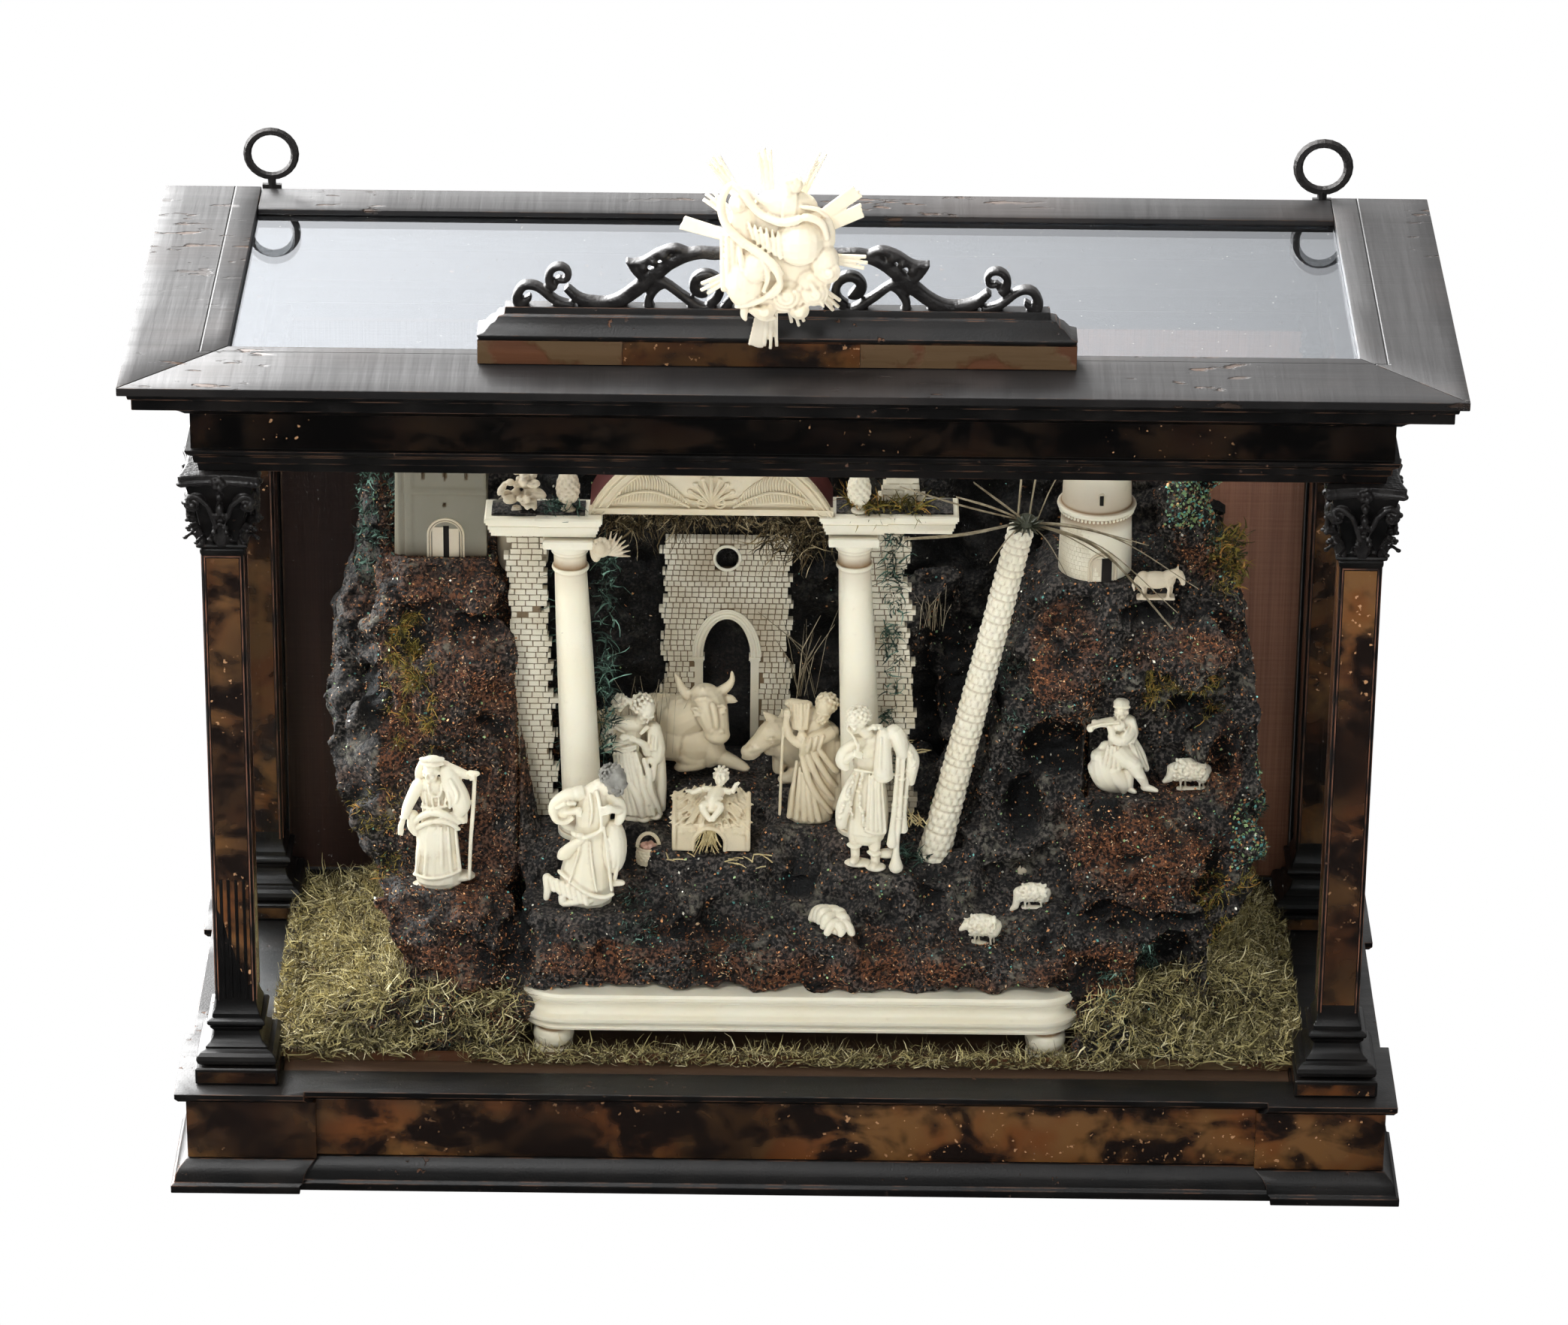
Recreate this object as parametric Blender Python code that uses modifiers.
"""Glazed case with a carved nativity scene, for Blender 4.5. Sizes are in millimetres, MM turns them to metres.

Frame: origin at the middle of the case's underside, +X to the right seen from the front, +Y to the back, +Z up.
"""

import math

import bmesh
import bpy
import numpy as np
from mathutils import Matrix, Vector, noise

MM = 0.001
GAP = 0.3  # clearance between neighbouring pieces

# Case in plan
CASE_WIDTH = 575.0  # across the base's cap moulding
CASE_DEPTH = 222.8
BACK_Y = 121.0  # rear face of the case
FRONT_Y = BACK_Y - CASE_DEPTH
CORNER_WIDTH = 61.0  # projecting corner blocks of the base
CORNER_DEPTH = 59.0
CORNER_STEP = 4.0  # how far the long faces lie behind the corner blocks

# Base, from the table up
FOOT_HEIGHT = 15.0
FOOT_SPREAD = 2.8
BASE_HEIGHT = 52.0
CAP_HEIGHT = 6.0
FRIEZE_SETBACK = 5.0
FLOOR_SINK = 2.0
FLOOR_FRONT_LIP = 24.8
FLOOR_MARGIN = 1.0
WALL = 14.0  # boards of the base box

# Pillars
SHAFT_WIDTH = 19.1
PLINTH_WIDTH = 38.9
PLINTH_INSET = 9.3  # from the edge of the base
PILLAR_HEIGHT = 314.0
PILLAR_BASE_HEIGHT = 36.4
CAPITAL_HEIGHT = 37.0
ABACUS_WIDTH = 40.0
BACK_FRAME_RECESS = 0.2
BACK_FRAME_THICKNESS = 8.8
BACK_FRAME_FRONT = BACK_Y - BACK_FRAME_RECESS - BACK_FRAME_THICKNESS
PILLAR_X = CASE_WIDTH / 2 - PLINTH_INSET - PLINTH_WIDTH / 2
FRONT_PILLAR_Y = FRONT_Y + PLINTH_INSET + PLINTH_WIDTH / 2
BACK_PILLAR_Y = BACK_FRAME_FRONT - GAP - ABACUS_WIDTH / 2
FLOOR_HALF = PILLAR_X - PLINTH_WIDTH / 2 - FLOOR_MARGIN
FLOOR_FRONT = FRONT_Y + FLOOR_FRONT_LIP
FLOOR_BACK = BACK_FRAME_FRONT - 2 * FLOOR_MARGIN

# Entablature
ARCHITRAVE_HEIGHT = 12.0
FRIEZE_HEIGHT = 18.0
CORNICE_HEIGHT = 21.6
ARCHITRAVE_SIDE_OVERHANG = 5.7  # past the pillars' shafts
ARCHITRAVE_FRONT_OVERHANG = 7.2
CORNICE_SIDE = 22.0  # how far the cornice stands past the architrave
CORNICE_FRONT = 28.6
OPENING_MARGIN = 0.5
ARCHITRAVE_Z = BASE_HEIGHT + PILLAR_HEIGHT
FRIEZE_Z = ARCHITRAVE_Z + ARCHITRAVE_HEIGHT
CORNICE_Z = FRIEZE_Z + FRIEZE_HEIGHT
ROOF_Z = CORNICE_Z + CORNICE_HEIGHT
ARCHITRAVE_HALF = PILLAR_X + SHAFT_WIDTH / 2 + ARCHITRAVE_SIDE_OVERHANG
ARCHITRAVE_FRONT = FRONT_PILLAR_Y - SHAFT_WIDTH / 2 - ARCHITRAVE_FRONT_OVERHANG
OPENING_X = PILLAR_X - SHAFT_WIDTH / 2 - 0.2
OPENING_FRONT = FRONT_PILLAR_Y + SHAFT_WIDTH / 2 + OPENING_MARGIN
OPENING_BACK = BACK_FRAME_FRONT - OPENING_MARGIN

# Roof frame
ROOF_SIDE_OVERHANG = 4.0  # past the cornice
ROOF_FRONT_OVERHANG = 2.6
ROOF_THICKNESS = 4.0
ROOF_SIDE_BOARD = 45.7
ROOF_FRONT_BOARD = 49.0
ROOF_BACK_RAIL = 25.8
ROOF_GLASS_EDGE = 8.0  # how far the glass reaches under the boards
ROOF_HALF = ARCHITRAVE_HALF + CORNICE_SIDE + ROOF_SIDE_OVERHANG
ROOF_FRONT = ARCHITRAVE_FRONT - CORNICE_FRONT - ROOF_FRONT_OVERHANG
ROOF_OPENING_X = ROOF_HALF - ROOF_SIDE_BOARD
ROOF_OPENING_FRONT = ROOF_FRONT + ROOF_FRONT_BOARD
ROOF_OPENING_BACK = BACK_Y - ROOF_BACK_RAIL
ROOF_TOP = ROOF_Z + ROOF_THICKNESS

# Glass
GLASS = 1.8

# Back door
BACK_STILE = 30.0
BACK_RAIL = 8.0
BACK_STILE_X = OPENING_X + BACK_STILE
BACK_SILL_Z = BASE_HEIGHT + BACK_RAIL
BACK_HEAD_Z = ARCHITRAVE_Z - BACK_RAIL
DOOR_SIDE_GAP = 0.6
DOOR_THICKNESS = 7.0
SILK_THICKNESS = 0.4
HINGE_AXIS_Y = BACK_Y + 2.0
HINGE_LENGTH = 150.0
HINGE_KNUCKLES = 5
HINGE_PIN_RADIUS = 0.8
HINGE_LEAF = 1.0
HINGE_LEAF_WIDTH = 12.0
KNUCKLE_RADIUS = 1.9
LATCH_X = OPENING_X + 13.0
LATCH_Z = BASE_HEIGHT + 158.0
LATCH_REACH = 21.0
LATCH_PIN_RADIUS = 1.5
LATCH_CLEARANCE = 0.5
LATCH_THICKNESS = 1.5

# Hanging rings on the back: side, inset from the roof's edge, height over the roof, outer radius, wire radius
RINGS = (("left", 50.5, 15.6, 13.3, 1.95), ("right", 49.8, 14.6, 14.3, 2.3))
RING_Y = BACK_Y + 2.7
RING_PLATE = (9.0, 2.4, 28.0)

# Crest and glory over the front
CREST_X = -7.4
CREST_Y = ROOF_FRONT + 39.2
CREST_WIDTH = 268.0
CREST_DEPTH = 16.0
CREST_STRIP_HEIGHT = 11.6
CREST_BASE_HEIGHT = 26.0
SCROLL_THICKNESS = 5.5
GLORY = (CREST_X - 1.2, CREST_Y - 16.2, ROOF_TOP + 57.9)
CLOUD_BACK = 4.0
RAY_THICKNESS = 2.8

INNER_DEPTH = BACK_FRAME_FRONT - FRONT_PILLAR_Y  # from the front pane to the back frame


def deep(share):
    """Y at a share of the way from the front pane to the back frame."""
    return FRONT_PILLAR_Y + share * INNER_DEPTH


# Ivory stand
STAND_X = (-129.0, 141.0)
STAND_Y = (deep(0.05), deep(0.7298))
STAND_TOP = 87.0
STAND_BOTTOM = 66.0
STAND_CORNER = 22.0
STAND_FOOT_RADIUS = 9.7
STAND_FOOT_INSET = 18.0

# Figures and buildings: foot centre in millimetres
WOMAN = (-165.0, deep(0.2651), 125.0)
KNEELING = (-100.0, deep(0.2164), 121.0)
MOTHER = (-72.0, deep(0.492), 141.0)
FATHER = (13.0, deep(0.4812), 142.0)
PIPER = (37.0, deep(0.2948), 133.0)
MUSICIAN = (160.0, deep(0.384), 168.0)
OX = (-48.0, deep(0.6487), 150.0)
DONKEY = (22.0, deep(0.6433), 149.0)
MANGER = (-36.0, deep(0.3948), 137.0)
SHEEP_LEDGE = (190.0, deep(0.4002), 167.0)
SHEEP_PATH = (116.0, deep(0.2489), 117.0)
SHEEP_FRONT = (92.0, deep(0.1732), 105.0)
LAMB = (21.0, deep(0.1678), 112.0)
COLUMN_LEFT = (-98.0, deep(0.385), 142.0)
COLUMN_RIGHT = (35.0, deep(0.4175), 142.0)
PIER = (-120.0, deep(0.5028), 140.0)
WALL_RIGHT = (50.0, deep(0.519), 142.0)
GATE = (-31.0, deep(0.7514), 152.0)
HOUSE = (-163.0, deep(0.5677), 274.0)
TOWER = (143.0, deep(0.5245), 272.0)
PALM = (69.0, deep(0.385), 131.0)
PALM_TOP = (107.0, deep(0.385), 304.0)
COLUMN_HEIGHT = 158.0
GATE_HALF = 11.5
GATE_SPRING = 52.0
GATE_CROWN = 72.0
GATE_HEIGHT = 117.0
OCULUS_Z = 104.0
OCULUS_RADIUS = 5.5
COLUMN_LEAN = -6.3  # top against foot, along X
ENTABLATURE_Z = 300.6
ENTABLATURE_HEIGHT = 10.0
PEDIMENT_HALF = 57.0
PEDIMENT_HEIGHT = 37.0
VAULT_DEPTH = 32.0

# Rock
ROCK_SPLIT_LEFT = STAND_X[0] - 0.6
ROCK_SPLIT_RIGHT = STAND_X[1] + 0.6
ROCK_SIDE = PILLAR_X - 30.75
ROCK_X = (-ROCK_SIDE, ROCK_SIDE)
ROCK_FRONT = deep(0.0813)
ROCK_BACK = deep(0.7752)
BACK_ROCK = (ROCK_X[0] + 30, ROCK_X[1] - 22, ROCK_BACK + 0.6, BACK_FRAME_FRONT - 4)
GRID = 10.5
SLOPE_Y = (ROCK_FRONT, deep(0.1138), deep(0.2489), deep(0.465), deep(0.6001), STAND_Y[1])
SLOPE_Z = (91.0, 99.0, 119.0, 141.0, 149.0, 153.0)  # top of the ground at those places
MOSS_Z = (58.0, 76.0)  # moss beds at the front and at the back
SEAT_SINK = 1.0  # how deep each figure is let into the rock

# Materials: colour, roughness, metallic
FINISHES = {
    "ebonised_wood": ((0.012, 0.010, 0.010), 0.42, 0.0),
    "tortoiseshell": ((0.060, 0.024, 0.008), 0.25, 0.0),
    "glass": ((0.80, 0.85, 0.88), 0.05, 0.0),
    "silk": ((0.150, 0.055, 0.030), 0.55, 0.0),
    "iron": ((0.020, 0.018, 0.017), 0.50, 0.7),
    "brass": ((0.45, 0.30, 0.10), 0.35, 1.0),
    "poplar": ((0.25, 0.15, 0.08), 0.65, 0.0),
    "ivory": ((0.86, 0.78, 0.60), 0.40, 0.0),
    "aged_ivory": ((0.66, 0.55, 0.38), 0.45, 0.0),
    "cork_rock": ((0.045, 0.028, 0.018), 0.90, 0.0),
}

# Carved pieces: voxel size in millimetres, number of triangles kept
CARVING = {
    "bagpipe_shepherd": (1.0, 300),
    "crest_scrolls": (1.3, 1000),
    "donkey": (1.2, 270),
    "father_figure": (1.0, 230),
    "glory_cloud": (1.6, 560),
    "kneeling_shepherd": (1.0, 240),
    "lamb_resting": (0.8, 110),
    "manger_with_child": (1.0, 240),
    "mother_figure": (1.0, 230),
    "ox": (1.2, 320),
    "palm_tree": (0.9, 640),
    "seated_musician": (1.0, 230),
    "sheep_in_front": (0.8, 150),
    "sheep_on_ledge": (0.8, 150),
    "sheep_on_path": (0.8, 150),
    "woman_with_staff": (1.0, 240),
}

PARTS = "carved_nativity_scene"
CUTTERS = "cutters"


def clear_scene():
    for thing in list(bpy.data.objects):
        bpy.data.objects.remove(thing, do_unlink=True)
    for name in (PARTS, CUTTERS):
        if name not in bpy.data.collections:
            group = bpy.data.collections.new(name)
            bpy.context.scene.collection.children.link(group)


def finish_material(name):
    material = bpy.data.materials.get(name)
    if material is None:
        colour, roughness, metallic = FINISHES[name]
        material = bpy.data.materials.new(name)
        material.use_nodes = True
        shader = material.node_tree.nodes["Principled BSDF"]
        shader.inputs["Base Color"].default_value = (*colour, 1.0)
        shader.inputs["Roughness"].default_value = roughness
        shader.inputs["Metallic"].default_value = metallic
    return material


def piece(name, bm, finish, at=(0, 0, 0), turn=(0, 0, 0), cutter=False, round_shape=False):
    """Makes one object from a bmesh in millimetres about its own origin, and puts the origin at `at`."""
    bmesh.ops.recalc_face_normals(bm, faces=bm.faces)
    bmesh.ops.scale(bm, vec=(MM, MM, MM), verts=bm.verts)
    mesh = bpy.data.meshes.new(name)
    bm.to_mesh(mesh)
    bm.free()
    if round_shape:
        mesh.shade_smooth()
        mesh.set_sharp_from_angle(angle=math.radians(35))
    obj = bpy.data.objects.new(name, mesh)
    obj.location = Vector(at) * MM
    obj.rotation_euler = turn
    if finish:
        mesh.materials.append(finish_material(finish))
    bpy.data.collections[CUTTERS if cutter else PARTS].objects.link(obj)
    if cutter:
        obj.hide_render = True
        obj.display_type = "WIRE"
    return obj


def combine(obj, other, operation="DIFFERENCE"):
    change = obj.modifiers.new(operation.lower() + "_" + other.name, "BOOLEAN")
    change.operation = operation
    change.object = other
    change.solver = "EXACT"
    change.use_self = operation == "UNION"


def add_box(bm, low, high):
    size = [b - a for a, b in zip(low, high)]
    centre = [(a + b) / 2 for a, b in zip(low, high)]
    matrix = Matrix.Translation(centre) @ Matrix.Diagonal((*size, 1))
    return bmesh.ops.create_cube(bm, size=1.0, matrix=matrix)["verts"]


def box(name, low, high, finish, cutter=False):
    centre = [(a + b) / 2 for a, b in zip(low, high)]
    bm = bmesh.new()
    add_box(bm, [a - c for a, c in zip(low, centre)], [b - c for b, c in zip(high, centre)])
    return piece(name, bm, finish, centre, cutter=cutter)


def add_stack(bm, outline, levels):
    """Lofts outline(*offsets) through levels of (z, *offsets): one face, extruded level by level."""
    z, *offsets = levels[0]
    face = bm.faces.new([bm.verts.new((x, y, z)) for x, y in outline(*offsets)])
    for number, (z, *offsets) in enumerate(levels[1:]):
        grown = bmesh.ops.extrude_face_region(bm, geom=[face])["geom"]
        if number and face.is_valid:
            bmesh.ops.delete(bm, geom=[face], context="FACES_ONLY")
        face = next(part for part in grown if isinstance(part, bmesh.types.BMFace))
        for vert, (x, y) in zip(face.verts, outline(*offsets)):
            vert.co = (x, y, z)


def stack(name, outline, levels, finish, at=(0, 0, 0), cutter=False, round_shape=False):
    bm = bmesh.new()
    add_stack(bm, outline, levels)
    return piece(name, bm, finish, at, cutter=cutter, round_shape=round_shape)


def rectangle(x0, x1, y0, y1):
    return [(x0, y0), (x1, y0), (x1, y1), (x0, y1)]


def square(half):
    return rectangle(-half, half, -half, half)


def disc(radius, sides=16):
    steps = [2 * math.pi * i / sides for i in range(sides)]
    return [(radius * math.cos(a), radius * math.sin(a)) for a in steps]


def base_outline(out):
    """Plan of the base with its four projecting corner blocks, grown outwards by `out` at front and sides."""
    half = CASE_WIDTH / 2 + out
    front = FRONT_Y - out
    inner_x = CASE_WIDTH / 2 - CORNER_WIDTH + out
    front_block = FRONT_Y + CORNER_DEPTH + out
    back_block = BACK_Y - CORNER_DEPTH - out
    right = [
        (inner_x, front + CORNER_STEP),
        (inner_x, front),
        (half, front),
        (half, front_block),
        (half - CORNER_STEP, front_block),
        (half - CORNER_STEP, back_block),
        (half, back_block),
        (half, BACK_Y),
    ]
    return right + [(-x, y) for x, y in reversed(right)]


def frame_outline(half, front):
    return rectangle(-half, half, front, BACK_Y)


def hollow(obj, x, front, back, z0, z1):
    cutter = box(obj.name + "_hollow", (-x, front, z0 - 5), (x, back, z1 + 5), None, cutter=True)
    combine(obj, cutter)


def flat_outline(name, points, thickness, finish, at=(0, 0, 0), upright=False, holes=(), cutter=False):
    """A flat piece from a 2D curve filled on both sides; upright ones face the front."""
    curve = bpy.data.curves.new(name, "CURVE")
    curve.dimensions = "2D"
    curve.fill_mode = "BOTH"
    curve.extrude = thickness * MM / 2
    for ring in (points, *holes):
        spline = curve.splines.new("POLY")
        spline.points.add(len(ring) - 1)
        for point, (x, y) in zip(spline.points, ring):
            point.co = (x * MM, y * MM, 0, 1)
        spline.use_cyclic_u = True
    obj = bpy.data.objects.new(name, curve)
    obj.location = Vector(at) * MM
    if upright:
        obj.rotation_euler = (math.pi / 2, 0, 0)
    bpy.data.collections[PARTS].objects.link(obj)
    return as_mesh(obj, finish, cutter)


def as_mesh(obj, finish, cutter=False):
    """Turns a curve or a modified object into a plain mesh object of the same name and place."""
    bpy.context.view_layer.update()
    graph = bpy.context.evaluated_depsgraph_get()
    mesh = bpy.data.meshes.new_from_object(obj.evaluated_get(graph))
    matrix = obj.matrix_world.copy()
    name = obj.name
    bpy.data.objects.remove(obj, do_unlink=True)
    bm = bmesh.new()
    bm.from_mesh(mesh)
    bmesh.ops.remove_doubles(bm, verts=bm.verts, dist=1e-6)
    bmesh.ops.recalc_face_normals(bm, faces=bm.faces)
    bm.to_mesh(mesh)
    bm.free()
    mesh.name = name
    mesh.materials.clear()
    if finish:
        mesh.materials.append(finish_material(finish))
    new = bpy.data.objects.new(name, mesh)
    new.matrix_world = matrix
    bpy.data.collections[CUTTERS if cutter else PARTS].objects.link(new)
    if cutter:
        new.hide_render = True
        new.display_type = "WIRE"
    return new


def ball(bm, centre, radii, tilt=0.0, detail=(10, 7)):
    if isinstance(radii, (int, float)):
        radii = (radii, radii, radii)
    spin = Matrix.Rotation(tilt, 4, "Y")
    matrix = Matrix.Translation(centre) @ spin @ Matrix.Diagonal((*radii, 1))
    bmesh.ops.create_uvsphere(bm, u_segments=detail[0], v_segments=detail[1], radius=1.0, matrix=matrix)


def limb(bm, start, end, r1, r2, sides=8, rounded=True):
    """A tapered round bar between two points, with ball ends where rounded."""
    a, b = Vector(start), Vector(end)
    along = b - a
    spin = along.to_track_quat("Z", "Y").to_matrix().to_4x4()
    matrix = Matrix.Translation((a + b) / 2) @ spin
    bmesh.ops.create_cone(
        bm, cap_ends=True, segments=sides, radius1=r1, radius2=r2, depth=along.length, matrix=matrix
    )
    if rounded:
        ball(bm, start, r1, detail=(8, 6))
        ball(bm, end, r2, detail=(8, 6))


def carved(name, bm, finish, at, cut_base=True):
    """Fuses overlapping lumps into one carved body, cut flat at its foot."""
    voxel, triangles = CARVING[name]
    obj = piece(name, bm, None, at)
    fuse = obj.modifiers.new("fuse", "REMESH")
    fuse.mode = "VOXEL"
    fuse.voxel_size = voxel * MM
    obj = as_mesh(obj, finish)
    obj.data.calc_loop_triangles()
    thin = obj.modifiers.new("thin", "DECIMATE")
    thin.ratio = min(1.0, triangles / len(obj.data.loop_triangles))
    obj = as_mesh(obj, finish)
    if cut_base:
        bm = bmesh.new()
        bm.from_mesh(obj.data)
        plane = obj.matrix_world.inverted() @ Vector((at[0] * MM, at[1] * MM, (at[2] + GAP) * MM))
        cut = bmesh.ops.bisect_plane(
            bm, geom=bm.verts[:] + bm.edges[:] + bm.faces[:], dist=1e-7,
            plane_co=plane, plane_no=(0, 0, 1), clear_inner=True,
        )
        rim = [part for part in cut["geom_cut"] if isinstance(part, bmesh.types.BMEdge)]
        bmesh.ops.holes_fill(bm, edges=rim, sides=0)
        bmesh.ops.triangulate(bm, faces=bm.faces)
        bmesh.ops.recalc_face_normals(bm, faces=bm.faces)
        bm.to_mesh(obj.data)
        bm.free()
    obj.data.shade_smooth()
    return obj


def base():
    foot = [(0, FOOT_SPREAD), (4, FOOT_SPREAD), (5, 1.2), (9, 0.6), (12, -1.2), (FOOT_HEIGHT, -4.4)]
    stack("base_foot_moulding", base_outline, foot, "ebonised_wood")
    cap_bottom = BASE_HEIGHT - CAP_HEIGHT
    body = stack(
        "base_box", base_outline,
        [(FOOT_HEIGHT + GAP, -FRIEZE_SETBACK), (cap_bottom - GAP, -FRIEZE_SETBACK)], "tortoiseshell",
    )
    hollow(
        body, CASE_WIDTH / 2 - CORNER_WIDTH - WALL, FRONT_Y + CORNER_STEP + FRIEZE_SETBACK + WALL,
        BACK_Y - WALL, FOOT_HEIGHT, cap_bottom,
    )
    cap = [(cap_bottom, -4.2), (cap_bottom + 1.4, -1.4), (cap_bottom + 2.6, -0.6),
           (cap_bottom + 3.2, 0.0), (BASE_HEIGHT, 0.0)]
    top = stack("base_cap_moulding", base_outline, cap, "ebonised_wood")
    hollow(top, FLOOR_HALF, FLOOR_FRONT, FLOOR_BACK, cap_bottom, BASE_HEIGHT)
    floor_low = (-FLOOR_HALF + GAP, FLOOR_FRONT + GAP, BASE_HEIGHT - CAP_HEIGHT)
    floor_high = (FLOOR_HALF - GAP, FLOOR_BACK - GAP, BASE_HEIGHT - FLOOR_SINK)
    box("floor_board", floor_low, floor_high, "poplar")


def pillars():
    foot_z = BASE_HEIGHT + GAP
    plinth = PLINTH_WIDTH / 2
    shaft = SHAFT_WIDTH / 2
    top_z = ARCHITRAVE_Z - GAP
    neck_z = top_z - CAPITAL_HEIGHT
    shaft_z = BASE_HEIGHT + PILLAR_BASE_HEIGHT
    levels = [
        (foot_z, plinth), (foot_z + 7.7, plinth), (foot_z + 8.0, plinth - 2.5), (foot_z + 9.7, plinth - 0.6),
        (foot_z + 13.7, plinth - 0.6), (foot_z + 15.7, plinth - 2.8), (foot_z + 17.7, plinth - 3.4),
        (foot_z + 18.5, 12.4), (foot_z + 22, 10.9), (foot_z + 25.7, 12.0), (foot_z + 26.7, 13.6),
        (foot_z + 30, 13.6), (foot_z + 31, 11.6), (foot_z + 33.7, 11.4), (shaft_z, shaft),
        (neck_z - 3, shaft), (neck_z - 2, 12.0), (neck_z + 1, 12.0), (neck_z + 2, 9.8),
        (neck_z + 12, 11.5), (neck_z + 22, 13.5), (neck_z + 30, 17.0), (top_z - 5.6, 17.5),
        (top_z - 5.0, ABACUS_WIDTH / 2 - 1), (top_z - 1.5, ABACUS_WIDTH / 2), (top_z, ABACUS_WIDTH / 2),
    ]
    for side, x in (("left", -PILLAR_X), ("right", PILLAR_X)):
        for row, y in (("front", FRONT_PILLAR_Y), ("back", BACK_PILLAR_Y)):
            name = "pillar_" + row + "_" + side
            pillar = stack(name, square, levels, "tortoiseshell", (x, y, 0))
            combine(pillar, capital_leaves(name, x, y, neck_z), "UNION")


def capital_leaves(name, x, y, neck_z):
    """Leaves, corner volutes and rosettes round the bell of a capital."""
    bm = bmesh.new()
    for i in range(4):
        corner = math.pi / 4 + i * math.pi / 2
        c, s = math.cos(corner), math.sin(corner)
        limb(bm, (11 * c, 11 * s, neck_z + 17), (20.5 * c, 20.5 * s, neck_z + 27), 2.6, 3.4, 4, False)
        ball(bm, (20.8 * c, 20.8 * s, neck_z + 26.3), 4.3, detail=(6, 4))
        ball(bm, (14.5 * c, 14.5 * s, neck_z + 12.4), (3.6, 3.6, 5.0), detail=(4, 3))
        c, s = math.cos(i * math.pi / 2), math.sin(i * math.pi / 2)
        ball(bm, (12.4 * c, 12.4 * s, neck_z + 9.4), (3.8, 3.8, 5.0), detail=(4, 3))
        ball(bm, (16.2 * c, 16.2 * s, neck_z + 27.6), 3.3, detail=(4, 3))
    return piece(name + "_leaves", bm, None, (x, y, 0), cutter=True)


def entablature():
    half = ARCHITRAVE_HALF
    front = ARCHITRAVE_FRONT
    ring_inside = (OPENING_X, OPENING_FRONT, OPENING_BACK)
    architrave = [
        (ARCHITRAVE_Z, half - 6, front + 4.5), (ARCHITRAVE_Z + 4, half - 5.4, front + 4),
        (ARCHITRAVE_Z + 4.6, half - 4, front + 2.8), (ARCHITRAVE_Z + 8, half - 3.6, front + 2.4),
        (ARCHITRAVE_Z + 9.5, half - 1, front + 0.6), (FRIEZE_Z - GAP, half, front),
    ]
    frieze = [(FRIEZE_Z, half - 3, front + 2), (CORNICE_Z - GAP, half - 3, front + 2)]
    cornice = [
        (CORNICE_Z, half - 1, front), (CORNICE_Z + 2.5, half + 1.5, front - 3),
        (CORNICE_Z + 6, half + 6, front - 9),
        (CORNICE_Z + 10, half + 13, front - 18), (CORNICE_Z + 12.5, half + 17.5, front - 23.5),
        (CORNICE_Z + 13, half + 20, front - 26.5), (CORNICE_Z + 18.2, half + 20, front - 26.5),
        (CORNICE_Z + 18.8, half + CORNICE_SIDE - 0.5, front - CORNICE_FRONT + 0.4),
        (ROOF_Z - GAP, half + CORNICE_SIDE, front - CORNICE_FRONT),
    ]
    rings = (("architrave", architrave, "ebonised_wood"), ("shell_frieze", frieze, "tortoiseshell"))
    for name, levels, finish in rings:
        ring = stack(name, frame_outline, levels, finish)
        hollow(ring, *ring_inside, levels[0][0], levels[-1][0])
    ring = stack("cornice", frame_outline, cornice, "ebonised_wood")
    hollow(ring, ROOF_OPENING_X + ROOF_GLASS_EDGE, ROOF_OPENING_FRONT - ROOF_GLASS_EDGE,
           ROOF_OPENING_BACK + ROOF_GLASS_EDGE, CORNICE_Z, ROOF_Z)


def roof():
    half, front = ROOF_HALF, ROOF_FRONT
    middle_z = ROOF_Z + ROOF_THICKNESS / 2
    x, y = ROOF_OPENING_X, ROOF_OPENING_FRONT
    flat_outline(
        "roof_front_board", [(-half, front), (half, front), (x, y), (-x, y)],
        ROOF_THICKNESS, "ebonised_wood", (0, 0, middle_z),
    )
    for side, sign in (("left", -1), ("right", 1)):
        ring = [(half, front + 2 * GAP), (half, BACK_Y), (x, BACK_Y), (x, y + 2 * GAP)]
        flat_outline(
            "roof_" + side + "_board", [(sign * px, py) for px, py in ring],
            ROOF_THICKNESS, "ebonised_wood", (0, 0, middle_z),
        )
    rail = [(ROOF_Z, BACK_Y - ROOF_BACK_RAIL, BACK_Y), (ROOF_Z + 2.6, BACK_Y - ROOF_BACK_RAIL, BACK_Y),
            (ROOF_Z + 3.4, BACK_Y - ROOF_BACK_RAIL + 2.5, BACK_Y - 1.5)]
    stack("roof_back_rail", lambda a, b: rectangle(-x + GAP, x - GAP, a, b), rail, "ebonised_wood")
    reach = ROOF_GLASS_EDGE - GAP
    box(
        "roof_glass", (-x - reach, y - reach, ROOF_Z - GAP - GLASS),
        (x + reach, ROOF_OPENING_BACK + reach, ROOF_Z - GAP), "glass",
    )


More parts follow.
